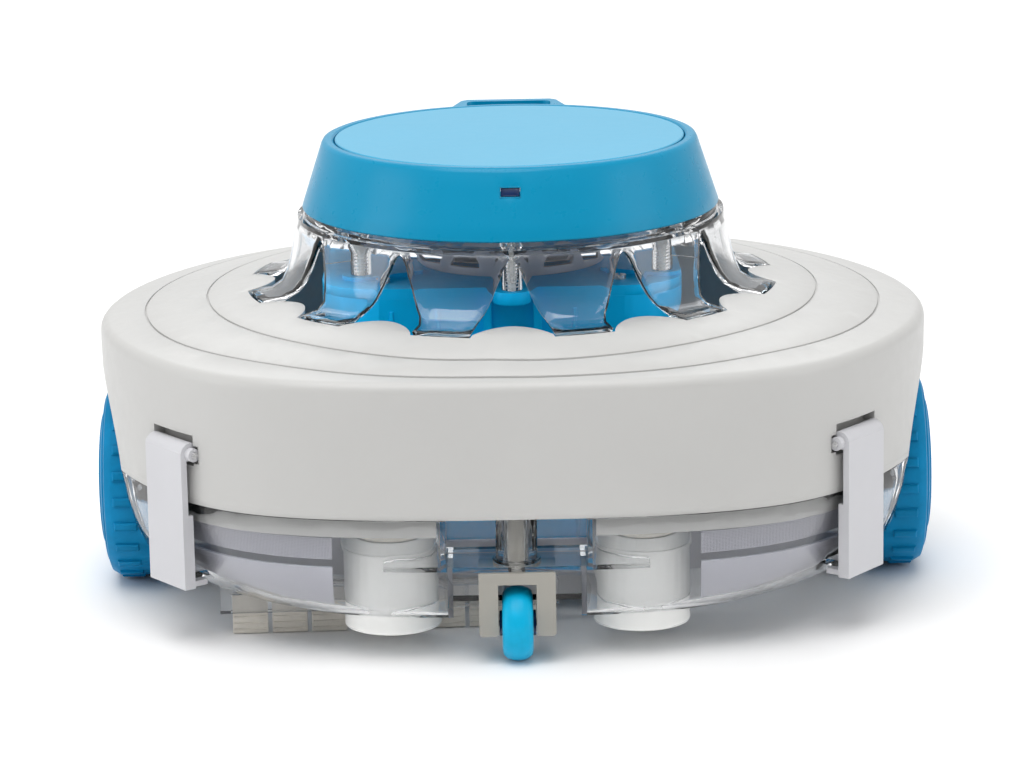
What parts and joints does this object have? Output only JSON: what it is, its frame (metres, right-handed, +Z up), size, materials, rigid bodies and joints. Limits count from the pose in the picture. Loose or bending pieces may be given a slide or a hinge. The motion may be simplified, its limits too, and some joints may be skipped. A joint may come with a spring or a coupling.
{
  "type": "robotic pool cleaner",
  "caption": "Low wheeled robot that vacuums a pool floor: white cover on a clear bowl, flared clear outlet skirt, round blue cap with carry loop, blue drive wheels and small casters.",
  "frame": {"origin": "middle of the footprint on the floor, under the middle of the overall box", "axes": "+Z up; the front of the machine, with the small front wheel, faces -Y; the drive wheels stand at -X (left) and +X (right)"},
  "size_m": [0.418, 0.3702, 0.225],
  "materials": {
    "white_cover": "satin moulded plastic",
    "white_latch": "satin moulded plastic",
    "clear_shell": "clear moulded polycarbonate",
    "clear_skirt": "clear moulded polycarbonate",
    "frosted_tube": "frosted clear plastic",
    "cap_blue": "fine satin moulded plastic",
    "case_blue": "matte moulded plastic",
    "wheel_blue": "matte moulded plastic",
    "tread_blue": "soft rubber",
    "caster_blue": "soft rubber",
    "navy": "dark translucent plastic",
    "tray_grey": "matte moulded plastic",
    "screen_grey": "fine woven screen",
    "flap_rubber": "soft grey rubber",
    "steel": "brushed stainless",
    "brass_bush": "turned brass",
    "dark_plastic": "matte moulded plastic",
    "board": "coated board",
    "cell_wrap": "shrink wrap"
  },
  "bodies": {
    "hull": {"top_cover": "white_cover", "bottom_shell": "clear_shell", "front_caster_post": "clear_shell", "rear_caster_post": "clear_shell", "sweeper_holder": "clear_shell", "outlet_skirt": "clear_skirt", "left_inlet_tube": "frosted_tube", "right_inlet_tube": "frosted_tube", "cap": "cap_blue", "cap_disc": "cap_blue", "power_case": "case_blue", "case_lid": "case_blue", "pump_cage": "case_blue", "indicator_window": "navy", "filter_tray": "tray_grey", "filter_screen": "screen_grey", "sweeper_flaps": "flap_rubber", "skirt_screws": "steel", "lid_screws": "steel", "latch_pins": "steel", "left_axle_bush": "brass_bush", "right_axle_bush": "brass_bush", "left_gear_motor": "dark_plastic", "right_gear_motor": "dark_plastic", "pump_motor": "dark_plastic", "left_flap_bracket": "dark_plastic", "right_flap_bracket": "dark_plastic", "button_housing": "dark_plastic", "charge_socket": "dark_plastic", "indicator_board": "board", "battery_cells": "cell_wrap"},
    "left_wheel": {"left_wheel_disc": "wheel_blue", "left_wheel_tread": "tread_blue", "left_hub_cap": "wheel_blue", "left_drive_shaft": "steel"},
    "right_wheel": {"right_wheel_disc": "wheel_blue", "right_wheel_tread": "tread_blue", "right_hub_cap": "wheel_blue", "right_drive_shaft": "steel"},
    "front_caster": {"front_caster_fork": "white_latch", "front_stem_clip": "steel", "front_caster_axle": "steel"},
    "front_caster_wheel": {"front_caster_tyre": "caster_blue", "front_caster_hub": "navy"},
    "rear_caster": {"rear_caster_fork": "white_latch", "rear_stem_clip": "steel", "rear_caster_axle": "steel"},
    "rear_caster_wheel": {"rear_caster_tyre": "caster_blue", "rear_caster_hub": "navy"},
    "impeller_set": {"impeller": "dark_plastic", "impeller_nut": "steel"},
    "left_flap": {"left_inlet_flap": "flap_rubber"},
    "right_flap": {"right_inlet_flap": "flap_rubber"},
    "button": {"power_button": "dark_plastic"},
    "front_left_latch_body": {"front_left_latch": "white_latch"},
    "front_right_latch_body": {"front_right_latch": "white_latch"},
    "rear_left_latch_body": {"rear_left_latch": "white_latch"},
    "rear_right_latch_body": {"rear_right_latch": "white_latch"}
  },
  "joints": [
    {"name": "left_wheel_turn", "type": "hinge", "parent": "hull", "child": "left_wheel", "pos_m": [-0.187, -0.00985, 0.0505], "axis": [1, 0, 0], "continuous": true},
    {"name": "left_flap_swing", "type": "hinge", "parent": "hull", "child": "left_flap", "pos_m": [-0.059, -0.11645, 0.059], "axis": [-1, 0, 0], "range_deg": [0, 55]},
    {"name": "right_wheel_turn", "type": "hinge", "parent": "hull", "child": "right_wheel", "pos_m": [0.187, -0.00985, 0.0505], "axis": [1, 0, 0], "continuous": true},
    {"name": "right_flap_swing", "type": "hinge", "parent": "hull", "child": "right_flap", "pos_m": [0.059, -0.11645, 0.059], "axis": [-1, 0, 0], "range_deg": [0, 55]},
    {"name": "front_caster_steer", "type": "hinge", "parent": "hull", "child": "front_caster", "pos_m": [0, -0.16745, 0.046], "axis": [0, 0, 1], "range_deg": [-45, 45]},
    {"name": "front_caster_turn", "type": "hinge", "parent": "front_caster", "child": "front_caster_wheel", "pos_m": [0, -0.16745, 0.0177], "axis": [1, 0, 0], "continuous": true},
    {"name": "rear_caster_steer", "type": "hinge", "parent": "hull", "child": "rear_caster", "pos_m": [0, 0.14155, 0.046], "axis": [0, 0, 1], "range_deg": [-45, 45]},
    {"name": "rear_caster_turn", "type": "hinge", "parent": "rear_caster", "child": "rear_caster_wheel", "pos_m": [0, 0.14155, 0.0177], "axis": [1, 0, 0], "continuous": true},
    {"name": "impeller_turn", "type": "hinge", "parent": "hull", "child": "impeller_set", "pos_m": [0, -0.02345, 0.172], "axis": [0, 0, 1], "continuous": true},
    {"name": "button_press", "type": "slide", "parent": "hull", "child": "button", "axis": [0, -1, 0], "range_m": [0, 0.0018], "stiffness_N_per_m": 400, "springref_m": -0.0005},
    {"name": "front_left_latch_open", "type": "hinge", "parent": "hull", "child": "front_left_latch_body", "pos_m": [-0.16227, -0.13086, 0.096], "axis": [-0.6018, 0.7986, 0], "range_deg": [0, 70]},
    {"name": "front_right_latch_open", "type": "hinge", "parent": "hull", "child": "front_right_latch_body", "pos_m": [0.16227, -0.13086, 0.096], "axis": [-0.6018, -0.7986, 0], "range_deg": [0, 70]},
    {"name": "rear_left_latch_open", "type": "hinge", "parent": "hull", "child": "rear_left_latch_body", "pos_m": [-0.17244, 0.09286, 0.096], "axis": [0.5592, 0.829, 0], "range_deg": [0, 70]},
    {"name": "rear_right_latch_open", "type": "hinge", "parent": "hull", "child": "rear_right_latch_body", "pos_m": [0.17244, 0.09286, 0.096], "axis": [0.5592, -0.829, 0], "range_deg": [0, 70]}
  ]
}
